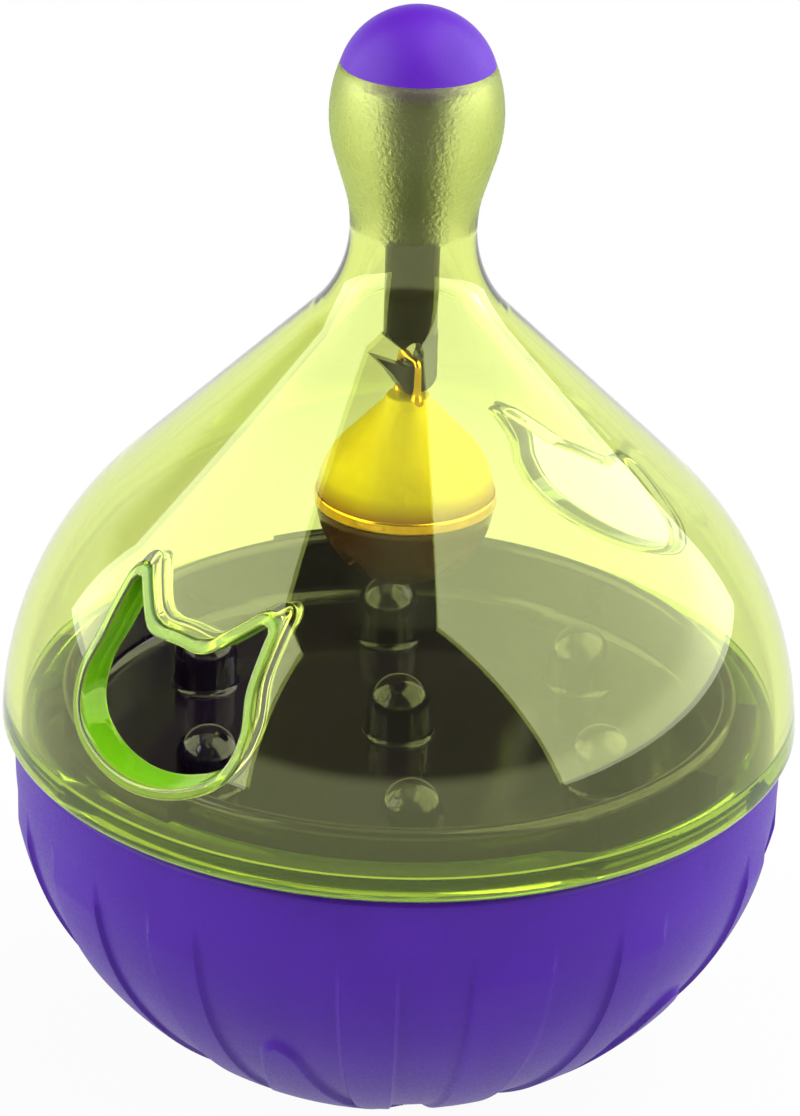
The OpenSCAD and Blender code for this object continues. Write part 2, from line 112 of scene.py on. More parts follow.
def addSoftbox(name, box):
    start = Vector(studio["middle"])
    corner, top, far = (start + skyward(shot["azimuth"] + az, el) * out
                        for az, el, out in (box["corner"], box["top"], box["far"]))
    along = far - corner
    rise = top - corner
    rise -= along * (rise.dot(along) / along.length_squared)
    centre = corner + (along + rise) / 2
    across = along.normalized()
    upward = rise.normalized()
    if across.cross(upward).dot(centre - start) < 0:
        across = -across
    facing = across.cross(upward)
    lamp = bpy.data.lights.new(name, "AREA")
    lamp.shape = "RECTANGLE"
    lamp.size = along.length
    lamp.size_y = rise.length
    lamp.energy = box["radiance"] * math.pi * along.length * rise.length
    obj = bpy.data.objects.new(name, lamp)
    scene.collection.objects.link(obj)
    turn = Matrix((across, upward, facing)).transposed().to_4x4()
    obj.matrix_world = Matrix.Translation(centre) @ turn


def spread(tree, value, low, high, source=noiseRange):
    node = tree.nodes.new("ShaderNodeMapRange")
    node.inputs["From Min"].default_value = source[0]
    node.inputs["From Max"].default_value = source[1]
    node.inputs["To Min"].default_value = low
    node.inputs["To Max"].default_value = high
    tree.links.new(value, node.inputs["Value"])
    return node.outputs["Result"]


def greyRamp(tree, value, stops):
    ramp = tree.nodes.new("ShaderNodeValToRGB")
    ramp.color_ramp.interpolation = "EASE"
    for mark, (place, bright) in zip(ramp.color_ramp.elements, stops):
        mark.position = place
        mark.color = (bright, bright, bright, 1)
    tree.links.new(value, ramp.inputs["Fac"])
    return ramp.outputs["Color"]


def addWorld():
    world = bpy.data.worlds.new("studio")
    scene.world = world
    world.use_nodes = True
    tree = world.node_tree
    tree.nodes.clear()
    out = tree.nodes.new("ShaderNodeOutputWorld")
    room = tree.nodes.new("ShaderNodeBackground")
    room.inputs["Color"].default_value = (1, 1, 1, 1)
    coord = tree.nodes.new("ShaderNodeTexCoord")
    height = tree.nodes.new("ShaderNodeSeparateXYZ")
    link = tree.links.new
    link(coord.outputs["Generated"], height.inputs[0])
    behind = tree.nodes.new("ShaderNodeVectorMath")
    behind.operation = "DOT_PRODUCT"
    behind.inputs[1].default_value = -skyward(shot["azimuth"], 0)
    link(coord.outputs["Generated"], behind.inputs[0])
    share = tree.nodes.new("ShaderNodeMath")
    share.operation = "MULTIPLY"
    link(greyRamp(tree, height.outputs["Z"], studio["sweep"]), share.inputs[0])
    link(spread(tree, behind.outputs["Value"], 0.0, 1.0, studio["sweepSide"]), share.inputs[1])
    level = share.outputs[0]
    for part in ("room", "backdrop"):
        brightest = tree.nodes.new("ShaderNodeMath")
        brightest.operation = "MAXIMUM"
        link(greyRamp(tree, height.outputs["Z"], studio[part]), brightest.inputs[0])
        link(level, brightest.inputs[1])
        level = brightest.outputs[0]
    link(level, room.inputs["Strength"])
    link(room.outputs[0], out.inputs["Surface"])


def addFloor():
    mesh = bpy.data.meshes.new("floor")
    half = studio["floorHalf"]
    low = -studio["floorDrop"]
    corners = [(-half, -half, low), (half, -half, low), (half, half, low), (-half, half, low)]
    mesh.from_pydata(corners, [], [(0, 1, 2, 3)])
    floor = bpy.data.objects.new("floor", mesh)
    scene.collection.objects.link(floor)
    mat = bpy.data.materials.new("paleFloor")
    mat.use_nodes = True
    tree = mat.node_tree
    tree.nodes.clear()
    out = tree.nodes.new("ShaderNodeOutputMaterial")
    paper = tree.nodes.new("ShaderNodeBsdfDiffuse")
    paper.inputs["Color"].default_value = studio["floorColour"]
    white = tree.nodes.new("ShaderNodeEmission")
    white.inputs["Color"].default_value = (1, 1, 1, 1)
    white.inputs["Strength"].default_value = 1.0
    light = tree.nodes.new("ShaderNodeLightPath")
    mix = tree.nodes.new("ShaderNodeMixShader")
    link = tree.links.new
    seen = light.outputs["Is Camera Ray"]
    for kind in ("Is Glossy Ray", "Is Transmission Ray"):
        either = tree.nodes.new("ShaderNodeMath")
        either.operation = "MAXIMUM"
        link(seen, either.inputs[0])
        link(light.outputs[kind], either.inputs[1])
        seen = either.outputs[0]
    link(spread(tree, seen, 0.0, studio["floorWhite"], (0, 1)), mix.inputs[0])
    link(paper.outputs[0], mix.inputs[1])
    link(white.outputs[0], mix.inputs[2])
    link(mix.outputs[0], out.inputs["Surface"])
    mesh.materials.append(mat)


scene.view_settings.view_transform = "Standard"
addWorld()
addFloor()
for boxName, boxSpec in softboxes.items():
    addSoftbox(boxName, boxSpec)
print("studio set")


# materials
def startMaterial(name):
    mat = bpy.data.materials.new(name)
    mat.use_nodes = True
    tree = mat.node_tree
    tree.nodes.clear()
    out = tree.nodes.new("ShaderNodeOutputMaterial")
    skin = tree.nodes.new("ShaderNodeBsdfPrincipled")
    tree.links.new(skin.outputs["BSDF"], out.inputs["Surface"])
    coord = tree.nodes.new("ShaderNodeTexCoord")
    return mat, tree, skin, coord


def addNoise(tree, coord, size, detail=3.0, stretch=None):
    noise = tree.nodes.new("ShaderNodeTexNoise")
    noise.inputs["Scale"].default_value = 1 / (size * mm)
    noise.inputs["Detail"].default_value = detail
    if stretch:
        squeeze = tree.nodes.new("ShaderNodeMapping")
        squeeze.inputs["Scale"].default_value = stretch
        tree.links.new(coord.outputs["Object"], squeeze.inputs["Vector"])
        tree.links.new(squeeze.outputs["Vector"], noise.inputs["Vector"])
    else:
        tree.links.new(coord.outputs["Object"], noise.inputs["Vector"])
    return noise.outputs["Fac"]


def twoTone(tree, value, first, second):
    ramp = tree.nodes.new("ShaderNodeValToRGB")
    for mark, place, colour in zip(ramp.color_ramp.elements, toneStops, (first, second)):
        mark.position = place
        mark.color = (*colour, 1)
    tree.links.new(value, ramp.inputs["Fac"])
    return ramp.outputs["Color"]


def blendColour(tree, share, first, second):
    node = tree.nodes.new("ShaderNodeMix")
    node.data_type = "RGBA"
    tree.links.new(share, node.inputs[0])
    for socket, colour in ((node.inputs[6], first), (node.inputs[7], second)):
        if isinstance(colour, tuple):
            socket.default_value = (*colour, 1)
        else:
            tree.links.new(colour, socket)
    return node.outputs[2]


def blendValue(tree, share, first, second):
    node = tree.nodes.new("ShaderNodeMix")
    tree.links.new(share, node.inputs[0])
    tree.links.new(first, node.inputs[2])
    tree.links.new(second, node.inputs[3])
    return node.outputs[0]


def addBump(tree, skin, value, depth):
    bump = tree.nodes.new("ShaderNodeBump")
    bump.inputs["Strength"].default_value = 1.0
    bump.inputs["Distance"].default_value = depth * mm
    tree.links.new(value, bump.inputs["Height"])
    tree.links.new(bump.outputs["Normal"], skin.inputs["Normal"])


def mouldedPlastic(name, finish):
    mat, tree, skin, coord = startMaterial(name)
    mottle = addNoise(tree, coord, finish["mottle"])
    grain = addNoise(tree, coord, finish["grain"], detail=2.0)
    tree.links.new(twoTone(tree, mottle, finish["shade"], finish["colour"]), skin.inputs["Base Color"])
    tree.links.new(spread(tree, grain, *finish["roughness"]), skin.inputs["Roughness"])
    skin.inputs["IOR"].default_value = finish["ior"]
    skin.inputs["Specular IOR Level"].default_value = finish["shine"]
    addBump(tree, skin, grain, finish["depth"])
    return mat


def metal(name, finish):
    mat, tree, skin, coord = startMaterial(name)
    cloud = addNoise(tree, coord, finish["cloud"])
    marks = addNoise(tree, coord, finish["marks"], detail=2.0, stretch=finish["stretch"])
    tree.links.new(twoTone(tree, cloud, finish["shade"], finish["colour"]), skin.inputs["Base Color"])
    tree.links.new(spread(tree, marks, *finish["roughness"]), skin.inputs["Roughness"])
    skin.inputs["Metallic"].default_value = finish["metallic"]
    addBump(tree, skin, marks, finish["depth"])
    return mat


satinPurple = {"colour": (0.055, 0.006, 0.280), "shade": (0.048, 0.005, 0.250), "mottle": 9.0, "grain": 0.30,
               "roughness": (0.38, 0.50), "ior": 1.46, "shine": 0.28, "depth": 0.012}
capPurple = {"colour": (0.084, 0.008, 0.365), "shade": (0.073, 0.007, 0.330), "mottle": 6.0, "grain": 0.28,
             "roughness": (0.40, 0.52), "ior": 1.46, "shine": 0.28, "depth": 0.012}
glossPurple = {"colour": (0.017, 0.009, 0.036), "shade": (0.014, 0.007, 0.030), "mottle": 12.0, "grain": 1.6,
               "roughness": (0.11, 0.15), "ior": 1.52, "shine": 0.5, "depth": 0.002}
darkPurple = {"colour": (0.022, 0.012, 0.040), "shade": (0.018, 0.010, 0.032), "mottle": 5.0, "grain": 1.5,
              "roughness": (0.22, 0.26), "ior": 1.48, "shine": 0.5, "depth": 0.0005}
goldPlate = {"upper": ((1.0, 0.78, 0.004), (1.0, 0.74, 0.003)), "shadeBandColour": (0.52, 0.22, 0.010),
             # the lower cup's dark brown is painted shade
             "lower": ((0.120, 0.034, 0.005), (0.095, 0.026, 0.004)),
             "shadeBandRise": (1.0, 3.2),      # mm above the seam, over which the painted shade band fades out
             "cloud": 5.0, "marks": 0.8, "stretch": (1, 1, 0.3), "upperRoughness": (0.46, 0.54),
             "lowerRoughness": (0.07, 0.13), "seam": 66.55, "blend": 0.12, "metallic": 0.35, "depth": 0.002}
goldWire = {"colour": (0.95, 0.55, 0.05), "shade": (0.84, 0.44, 0.03), "cloud": 2.0, "marks": 0.3,
            "stretch": (1, 1, 0.2), "roughness": (0.14, 0.26), "metallic": 1.0, "depth": 0.003}
turnedSteel = {"colour": (0.42, 0.43, 0.45), "shade": (0.30, 0.31, 0.33), "cloud": 6.0, "marks": 0.4,
               "stretch": (1, 1, 0.1), "roughness": (0.28, 0.45), "metallic": 1.0, "depth": 0.006}
zincPlate = {"colour": (0.62, 0.63, 0.66), "shade": (0.48, 0.49, 0.52), "cloud": 2.0, "marks": 0.3,
             "stretch": (1, 1, 0.5), "roughness": (0.20, 0.34), "metallic": 1.0, "depth": 0.004}
plainIron = {"colour": (0.30, 0.30, 0.31), "shade": (0.20, 0.20, 0.21), "cloud": 1.5, "marks": 0.25,
             "stretch": (1, 1, 1), "roughness": (0.35, 0.55), "metallic": 1.0, "depth": 0.008}
clearLime = {"tint": (0.985, 1.0, 0.96), "glint": (0.94, 1.0, 0.66), "ior": 1.60, "gloss": (0.010, 0.022),
             "frosted": 0.41, "wave": 7.0, "granule": 0.45, "granuleDepth": 0.12,
             "absorb": (0.855, 0.93, 0.016), "density": 320.0,
             # painted glow: deep green painted on the cut edges of the holes, paler green at their lips
             "paintedLipGlow": (0.400, 0.640, 0.050), "lipAt": (0.25, 0.5),
             "paintedGlowGreen": (0.160, 0.480, 0.008), "edgeClear": 0.12}


def goldShell(name, finish):
    # two cups, a bright one over a darker mirror whose dark brown colour is painted shade
    mat, tree, skin, coord = startMaterial(name)
    split = tree.nodes.new("ShaderNodeSeparateXYZ")
    tree.links.new(coord.outputs["Object"], split.inputs[0])
    seam = (finish["seam"] - finish["blend"]) * mm, (finish["seam"] + finish["blend"]) * mm
    over = spread(tree, split.outputs["Z"], 0.0, 1.0, seam)
    cloud = addNoise(tree, coord, finish["cloud"])
    marks = addNoise(tree, coord, finish["marks"], detail=2.0, stretch=finish["stretch"])
    # painted shade: a darker orange band on the upper cup just above the seam
    shadeBandRise = [(finish["seam"] + rise) * mm for rise in finish["shadeBandRise"]]
    shadeBand = spread(tree, split.outputs["Z"], 1.0, 0.0, shadeBandRise)
    upper = blendColour(tree, shadeBand, twoTone(tree, cloud, *finish["upper"][::-1]), finish["shadeBandColour"])
    tone = blendColour(tree, over, twoTone(tree, cloud, *finish["lower"][::-1]), upper)
    tree.links.new(tone, skin.inputs["Base Color"])
    lowerRough = spread(tree, marks, *finish["lowerRoughness"])
    upperRough = spread(tree, marks, *finish["upperRoughness"])
    tree.links.new(blendValue(tree, over, lowerRough, upperRough), skin.inputs["Roughness"])
    skin.inputs["Metallic"].default_value = finish["metallic"]
    addBump(tree, skin, marks, finish["depth"])
    return mat


def clearPlastic(name, finish):
    mat, tree, skin, coord = startMaterial(name)
    skin.inputs["IOR"].default_value = finish["ior"]
    skin.inputs["Specular Tint"].default_value = (*finish["glint"], 1)
    frost = tree.nodes.new("ShaderNodeAttribute")
    frost.attribute_name = "frost"
    glow = tree.nodes.new("ShaderNodeAttribute")        # painted glow: cut edges are painted deep green, standing in for the light they gather
    glow.attribute_name = "paintedEdgeGlow"
    edge = tree.nodes.new("ShaderNodeValToRGB")
    stops = edge.color_ramp.elements
    stops[0].color = (*finish["tint"], 1)
    stops[1].color = (*finish["paintedGlowGreen"], 1)
    for place in finish["lipAt"]:
        stops.new(place).color = (*finish["paintedLipGlow"], 1)
    tree.links.new(glow.outputs["Fac"], edge.inputs["Fac"])
    tree.links.new(edge.outputs["Color"], skin.inputs["Base Color"])
    clearness = spread(tree, glow.outputs["Fac"], 1.0, finish["edgeClear"], (0, 1))
    tree.links.new(clearness, skin.inputs["Transmission Weight"])
    flow = addNoise(tree, coord, finish["wave"], detail=1.0)
    granules = addNoise(tree, coord, finish["granule"], detail=2.0)
    gloss = spread(tree, flow, *finish["gloss"])
    rough = tree.nodes.new("ShaderNodeMath")        # frosted outside on the knob, glossy elsewhere
    rough.operation = "MULTIPLY_ADD"
    rough.inputs[1].default_value = finish["frosted"]
    tree.links.new(frost.outputs["Fac"], rough.inputs[0])
    tree.links.new(gloss, rough.inputs[2])
    tree.links.new(rough.outputs[0], skin.inputs["Roughness"])
    height = tree.nodes.new("ShaderNodeMath")
    height.operation = "MULTIPLY"
    tree.links.new(granules, height.inputs[0])
    tree.links.new(frost.outputs["Fac"], height.inputs[1])
    addBump(tree, skin, height.outputs[0], finish["granuleDepth"])
    inside = tree.nodes.new("ShaderNodeVolumeAbsorption")
    inside.inputs["Color"].default_value = (*finish["absorb"], 1)
    inside.inputs["Density"].default_value = finish["density"]
    tree.links.new(inside.outputs["Volume"], tree.nodes["Material Output"].inputs["Volume"])
    return mat


bowlSkin = mouldedPlastic("satinPurple", satinPurple)
capSkin = mouldedPlastic("capPurple", capPurple)
traySkin = mouldedPlastic("glossPurple", glossPurple)
postSkin = mouldedPlastic("darkPurple", darkPurple)
bellSkin = goldShell("goldPlate", goldPlate)
loopSkin = metal("goldWire", goldWire)
weightSkin = metal("turnedSteel", turnedSteel)
screwSkin = metal("zincPlate", zincPlate)
pelletSkin = metal("plainIron", plainIron)
domeSkin = clearPlastic("clearLime", clearLime)
print("materials made")


# mesh helpers
weldGap = 0.0008        # mm, corners nearer than this become one
sameSpot = 1e-4         # mm, points of a line nearer than this are one


def finishMesh(name, verts, faces, skin, sharpAngle):
    mesh = bpy.data.meshes.new(name)
    mesh.from_pydata([tuple(v) for v in np.asarray(verts) * mm], [], faces)
    work = bmesh.new()
    work.from_mesh(mesh)
    bmesh.ops.remove_doubles(work, verts=work.verts, dist=weldGap * mm)
    bmesh.ops.recalc_face_normals(work, faces=work.faces)
    work.to_mesh(mesh)
    work.free()
    mesh.shade_smooth()
    mesh.set_sharp_from_angle(angle=math.radians(sharpAngle))
    mesh.materials.append(skin)
    piece = bpy.data.objects.new(name, mesh)
    scene.collection.objects.link(piece)
    return piece


def ringCell(first, cols, i, j):
    # the face between row i and the next, and column j and the next
    row = first + i * cols
    k = (j + 1) % cols
    return row + j, row + k, row + cols + k, row + cols + j


def ringFaces(rows, cols, first=0):
    return [ringCell(first, cols, i, j) for i in range(rows - 1) for j in range(cols)]


def arcPoints(centre, radius, start, end, step):
    count = max(2, int(math.ceil(abs(math.radians(end - start)) * radius / step)) + 1)
    turns = np.radians(np.linspace(start, end, count))
    return np.stack([centre[0] + radius * np.cos(turns), centre[1] + radius * np.sin(turns)], -1)


def linePoints(a, b, step):
    count = max(2, int(math.ceil(math.dist(a, b) / step)) + 1)
    return np.linspace(a, b, count)


def joinPoints(*runs):
    points = [np.asarray(runs[0][0])]
    for run in runs:
        for p in run:
            if math.dist(p, points[-1]) > sameSpot:
                points.append(np.asarray(p))
    return np.array(points)


def easeStep(x):
    x = np.clip(x, 0, 1)
    return x * x * (3 - 2 * x)


def softMin(a, b, width):
    h = np.maximum(width - np.abs(a - b), 0) / width
    return np.minimum(a, b) - h * h * width / 4


# bowl: round bottom, shoulder and upright wall, with ribs and a star raised on it
bowlShape = {
    "wallR": 41.2, "rimZ": 41.104, "wall": 2.2, "bevel": 0.6,
    "shoulder": (8.2, 36.904), "shoulderArc": 33.0, "shoulderTurn": 31.7,
    "bottomZ": 41.9685, "bottomArc": 42.64, "footR": 10.4,
    "patternTurn": -33.0, "groups": 5, "ribPitch": 21.0, "middleRib": 12.0, "sideRib": 8.5,
    "ribHeight": 0.5, "ribTopR": 41.15, "ribSoft": 0.42, "ribInnerR": 12.0,
    "starHeight": 0.6, "tipR": 36.9, "tipRound": 2.2, "armTaper": 13.5, "starFillet": 7.0, "starSoft": 0.4,
    "ledgeZ": 38.604, "ledgeWidth": 1.4, "ledgeThick": 2.0,
    "seatZ": 5.0, "seatR": 13.0, "seatWall": 2.4, "bossR": 3.8, "bossTop": 15.5, "pilotR": 1.8, "pilotZ": 5.9,
    "footRings": (0, 5, 9.6, 10.2), "bandRows": 8, "bevelEase": 0.03, "leastOut": 0.05,
    "columns": 900, "rowStep": 0.45, "hollowStep": 2.0, "sharpAngle": 40,
    "cornerGap": 0.3, "ledgeGap": 0.2,      # rows of the hollow keep this far from its corners
}


def starDistance(x, y):
    b = bowlShape
    sector = 360 / b["groups"]
    radius = np.hypot(x, y)
    turn = np.degrees(np.arctan2(y, x)) - b["patternTurn"] - sector / 2
    aside = np.abs((turn + sector / 2) % sector - sector / 2)

    def arm(angle):             # a tapered arm with a round tip, widening towards the middle
        along = radius * np.cos(np.radians(angle)) - (b["tipR"] - b["tipRound"])
        off = radius * np.abs(np.sin(np.radians(angle)))
        lean = math.radians(b["armTaper"])
        side = off * math.cos(lean) + along * math.sin(lean) - b["tipRound"]
        tip = np.hypot(along, off) - b["tipRound"]
        return np.where(along * math.cos(lean) > off * math.sin(lean), tip, side)

    return softMin(arm(aside), arm(sector - aside), b["starFillet"])


def bowlRelief(turns, r, outward):
    b = bowlShape
    x, y = r * np.cos(turns), r * np.sin(turns)
    star = b["starHeight"] * easeStep(0.5 - starDistance(x, y) / b["starSoft"])
    sector = 360 / b["groups"]
    angle = np.degrees(turns) - b["patternTurn"]
    angle = (angle + sector / 2) % sector - sector / 2
    room = min(b["ribHeight"], max(0, (b["ribTopR"] - r) / max(outward, b["leastOut"])))
    ribs = np.zeros_like(turns)
    for middle, width in ((0, b["middleRib"]), (-b["ribPitch"], b["sideRib"]), (b["ribPitch"], b["sideRib"])):
        off = np.radians(np.abs(angle - middle) - width / 2) * r
        ribs = np.maximum(ribs, room * easeStep(0.5 - off / b["ribSoft"]))
    if r < b["ribInnerR"]:
        ribs[:] = 0
    return np.maximum(star, ribs)


def buildBowl():
    b = bowlShape
    turns = np.radians(np.arange(b["columns"]) * 360 / b["columns"])
    around = np.stack([np.cos(turns), np.sin(turns)], -1)
    step = b["rowStep"]
    footTurn = -math.degrees(math.acos(b["footR"] / (b["bottomArc"] + b["starHeight"])))
    bottom = arcPoints((0, b["bottomZ"]), b["bottomArc"], footTurn, -b["shoulderTurn"], step)
    shoulder = arcPoints(b["shoulder"], b["shoulderArc"], -b["shoulderTurn"], 0, step)
    rings = []

    def plainRing(r, z):
        rings.append(np.column_stack([around * r, np.full(len(turns), z)]))

    for r in b["footRings"]:
        plainRing(r, 0)
    for run, centre in ((bottom, (0, b["bottomZ"])), (shoulder[1:], b["shoulder"])):
        for r, z in run:
            out = np.array([r - centre[0], z - centre[1]])
            out /= np.linalg.norm(out)
            rise = bowlRelief(turns, r, out[0])
            rings.append(np.column_stack([around * (r + rise * out[0])[:, None], z + rise * out[1]]))
    innerR = b["wallR"] - b["wall"]
    ledgeR = innerR - b["ledgeWidth"]
    underLedge = b["ledgeZ"] - b["ledgeThick"]
    topBand = b["rimZ"] - b["bevel"]
    bevelR = b["wallR"] - b["bevel"]
    ease = b["bevelEase"]
    for z in np.linspace(b["shoulder"][1], topBand - 2 * ease, b["bandRows"])[1:]:
        plainRing(b["wallR"], z)
    for r, z in ((b["wallR"] - ease, topBand + ease), (bevelR + ease, b["rimZ"] - ease),
                 (bevelR - 2 * ease, b["rimZ"]), (innerR, b["rimZ"]), (innerR, b["ledgeZ"]),
                 (ledgeR, b["ledgeZ"]), (ledgeR, underLedge), (innerR, underLedge)):
        plainRing(r, z)
    step = b["hollowStep"]
    hollowShoulder = arcPoints(b["shoulder"], b["shoulderArc"] - b["wall"], 0, -b["shoulderTurn"], step)
    hollowBottom = arcPoints((0, b["bottomZ"]), b["bottomArc"] - b["wall"], -b["shoulderTurn"], -90, step)
    hollow = [p for p in joinPoints(hollowShoulder, hollowBottom) if p[1] < underLedge - b["ledgeGap"]]

    def hollowZ(r):
        return b["bottomZ"] - math.sqrt((b["bottomArc"] - b["wall"]) ** 2 - r * r)

    seatIn = b["seatR"] - b["seatWall"]
    for r, z in hollow:
        if r > b["seatR"] + b["cornerGap"]:
            plainRing(r, z)
    for r, z in ((b["seatR"], hollowZ(b["seatR"])), (b["seatR"], b["seatZ"]),
                 (seatIn, b["seatZ"]), (seatIn, hollowZ(seatIn))):
        plainRing(r, z)
    for r, z in hollow:
        if b["bossR"] + b["cornerGap"] < r < seatIn - b["cornerGap"]:
            plainRing(r, z)
    for r, z in ((b["bossR"], hollowZ(b["bossR"])), (b["bossR"], b["bossTop"]), (b["pilotR"], b["bossTop"]),
                 (b["pilotR"], b["pilotZ"]), (0, b["pilotZ"])):
        plainRing(r, z)
    verts = np.concatenate(rings)
    bowl = finishMesh("bowlShell", verts, ringFaces(len(rings), len(turns)), bowlSkin, b["sharpAngle"])
    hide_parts("bowl")
    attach(bowl, "base")


buildBowl()
print("bowl built")

# dome: bulge, straight flank, waist, neck and knob, with two cat-head holes and a notched ring inside its rim
domeShape = {
    "rimZ": 41.454, "wall": 2.0, "edgeRound": 1.0,
    "bulge": (5.0, 40.454), "bulgeArc": 37.6,
    "waist": (20.05, 97.354), "waistArc": 13.5,
    "knob": (-5.55, 109.354), "knobArc": 14.5, "seamZ": 114.754,
    "neckZ": 97.354, "seatR": 6.0, "seatZ": 112.654,
    "ringR": 36.7, "ringTop": 43.454, "notchR": 38.9, "notchFrom": -19.0, "notchAngle": 30.0,
    # the rim takes this share of the painted green glow
    "notchEase": 8.0, "notches": 3, "rimGlowShare": 0.3,
    "columns": 216, "rowStep": 0.9, "flankLoose": 1.3, "edgeStep": 0.2, "sharpAngle": 40,
    "cutGap": 0.2, "waistGap": 0.15,        # rows keep this far from a cut end
    "frostFrom": 0.1,                       # mm above the waist
    "onFace": 0.002, "onSkin": 0.01, "endGap": 0.05,    # how near a face, a marked point and an end count
}
holeShape = {
    "middleZ": 55.654, "cheek": (5.2, 5.2), "crownArc": 15.56, "crownY": 8.96,
    "earTip": (8.4, 9.4), "earIn": (2.8, 4.6), "earOut": (9.1, 1.4), "earRound": 0.7, "fillet": 1.5,
    "points": 264, "traceGrow": 0.75, "traceStep": 0.05, "traceMost": 4000, "traceLeast": 20,
    "blurReach": 9, "blurWidth": 4.0, "growSearch": (-2.6, 3.2), "halvings": 40,
    "halfAngle": 26.0, "patch": (44.4, 71.0), "flatR": 40,      # the patch round a hole, laid flat
    "patchGap": 0.5, "patchSlack": 0.004,       # points keep off the hole's edge, faces may reach over it
    # rows of the sleeve: how far outside the hole's edge, how deep below the dome's face,
    # share of the painted green glow
    "sleeve": ((1.25, 0.00, 0), (1.18, -0.04, 0), (1.12, -0.14, 0), (1.05, -0.22, 0.1),
               (0.95, -0.27, 0.35), (0.80, -0.28, 0.45), (0.50, -0.28, 0.45), (0.30, -0.27, 0.35),
               (0.18, -0.23, 0.1), (0.07, -0.13, 0.1), (0.00, 0.02, 0.6), (-0.02, 0.50, 1),
               (-0.08, 1.10, 1), (-0.16, 1.80, 1), (-0.24, 2.50, 1), (-0.30, 3.00, 1),
               (-0.27, 3.20, 0.5), (-0.15, 3.30, 0), (0.10, 3.32, 0), (0.40, 3.32, 0),
               (0.50, 3.28, 0), (0.56, 3.16, 0), (0.60, 2.90, 0), (0.64, 2.60, 0),
               (0.70, 2.30, 0), (0.80, 2.08, 0), (0.95, 2.00, 0)),
    "clearSide": (0.85, 0.53), "clearTurn": 1.2,    # towards this side the painted glow fades, from this depth on and over this run
    "clearFrom": 1.3, "clearRun": 0.6,              # from this depth on and over this run
    "rearGlowShare": 0.08,           # the rear hole stands against the light and gets less painted glow
}


def upright(turn):
    return np.array([math.cos(math.radians(turn)), math.sin(math.radians(turn))])


def touchTurn(c1, r1, c2, r2, side):
    gap = np.subtract(c2, c1)
    return math.degrees(math.atan2(gap[1], gap[0]) + side * math.acos(min(1, (r1 + r2) / math.hypot(*gap))))


flankTurn = touchTurn(domeShape["bulge"], domeShape["bulgeArc"],
                      domeShape["waist"], domeShape["waistArc"], -1)
neckTurn = touchTurn(domeShape["knob"], domeShape["knobArc"],
                     domeShape["waist"], domeShape["waistArc"], 1)


def domeLine(inset, low, high):
    # section of the dome's face drawn in by inset, from one height up to another
    d = domeShape
    step = d["rowStep"]
    bulge = np.array(d["bulge"])
    waist = np.array(d["waist"])
    knob = np.array(d["knob"])
    bulgeR, waistR, knobR = d["bulgeArc"] - inset, d["waistArc"] + inset, d["knobArc"] - inset
    start = math.degrees(math.asin((low - bulge[1]) / bulgeR))
    runs = [arcPoints(bulge, bulgeR, start, flankTurn, step),
            linePoints(bulge + bulgeR * upright(flankTurn), waist - waistR * upright(flankTurn),
                       d["flankLoose"] * step),
            arcPoints(waist, waistR, flankTurn + 180, neckTurn + 180, step),
            linePoints(waist - waistR * upright(neckTurn), knob + knobR * upright(neckTurn), step)]
    if high > knob[1]:
        top = math.degrees(math.asin((high - knob[1]) / knobR))
        runs.append(arcPoints(knob, knobR, neckTurn, top, step))
    line = joinPoints(*runs)
    if high <= knob[1]:
        keep = line[line[:, 1] < high - d["cutGap"]]
        edge = np.array([np.interp(high, line[:, 1], line[:, 0]), high])
        line = np.vstack([keep, edge])
    return line


def domeRadius(z, inset):
    # radius of the bulge and flank at a height, drawn in by inset
    c, arc = domeShape["bulge"], domeShape["bulgeArc"] - inset
    turn = math.radians(flankTurn)
    joint = c[1] + arc * math.sin(turn)
    onBulge = c[0] + np.sqrt(np.maximum(arc ** 2 - (np.minimum(z, joint) - c[1]) ** 2, 0))
    return np.where(z > joint, onBulge - (z - joint) * math.tan(turn), onBulge)


def domeDepth(r, z):
    # depth below the dome's face, and the face's outward normal
    d = domeShape
    p = np.array([r, z])
    fromBulge = p - d["bulge"]
    if math.degrees(math.atan2(fromBulge[1], fromBulge[0])) <= flankTurn:
        far = math.hypot(*fromBulge)
        return d["bulgeArc"] - far, fromBulge / far
    toWaist = np.subtract(d["waist"], p)
    lean = math.degrees(math.atan2(toWaist[1], toWaist[0]))
    if lean > flankTurn:
        out = upright(flankTurn)
        return d["bulgeArc"] - fromBulge.dot(out), out
    if lean >= neckTurn:
        far = math.hypot(*toWaist)
        return far - d["waistArc"], toWaist / far
    fromKnob = p - d["knob"]
    if math.degrees(math.atan2(fromKnob[1], fromKnob[0])) < neckTurn:
        out = upright(neckTurn)
        return d["knobArc"] - fromKnob.dot(out), out
    far = math.hypot(*fromKnob)
    return d["knobArc"] - far, fromKnob / far


def catDistance(x, y):
    # distance outside the cat head: cheeks and crown, two ears with round tips, filleted together
    h = holeShape
    x = np.abs(x)
    cheekX, cheekR = h["cheek"]
    ay = np.abs(y)
    onCheek = x * h["crownY"] > cheekX * (ay + h["crownY"])
    head = np.where(onCheek, np.hypot(x - cheekX, ay) - cheekR, np.hypot(x, ay + h["crownY"]) - h["crownArc"])
    corners = [np.array(h[k]) for k in ("earTip", "earIn", "earOut")]
    nearest = None
    inside = None
    for i in range(3):
        a, b = corners[i], corners[(i + 1) % 3]
        edge = b - a
        px, py = x - a[0], y - a[1]
        t = np.clip((px * edge[0] + py * edge[1]) / edge.dot(edge), 0, 1)
        far = np.hypot(px - t * edge[0], py - t * edge[1])
        left = edge[0] * py - edge[1] * px > 0
        nearest = far if nearest is None else np.minimum(nearest, far)
        inside = left if inside is None else inside & left
    ear = np.where(inside, -nearest, nearest) - h["earRound"]
    return softMin(head, ear, h["fillet"])


def catSlope(x, y):
    e = 1e-3
    alongX = catDistance(x + e, y) - catDistance(x - e, y)
    alongY = catDistance(x, y + e) - catDistance(x, y - e)
    return np.array([alongX, alongY]) / (2 * e)


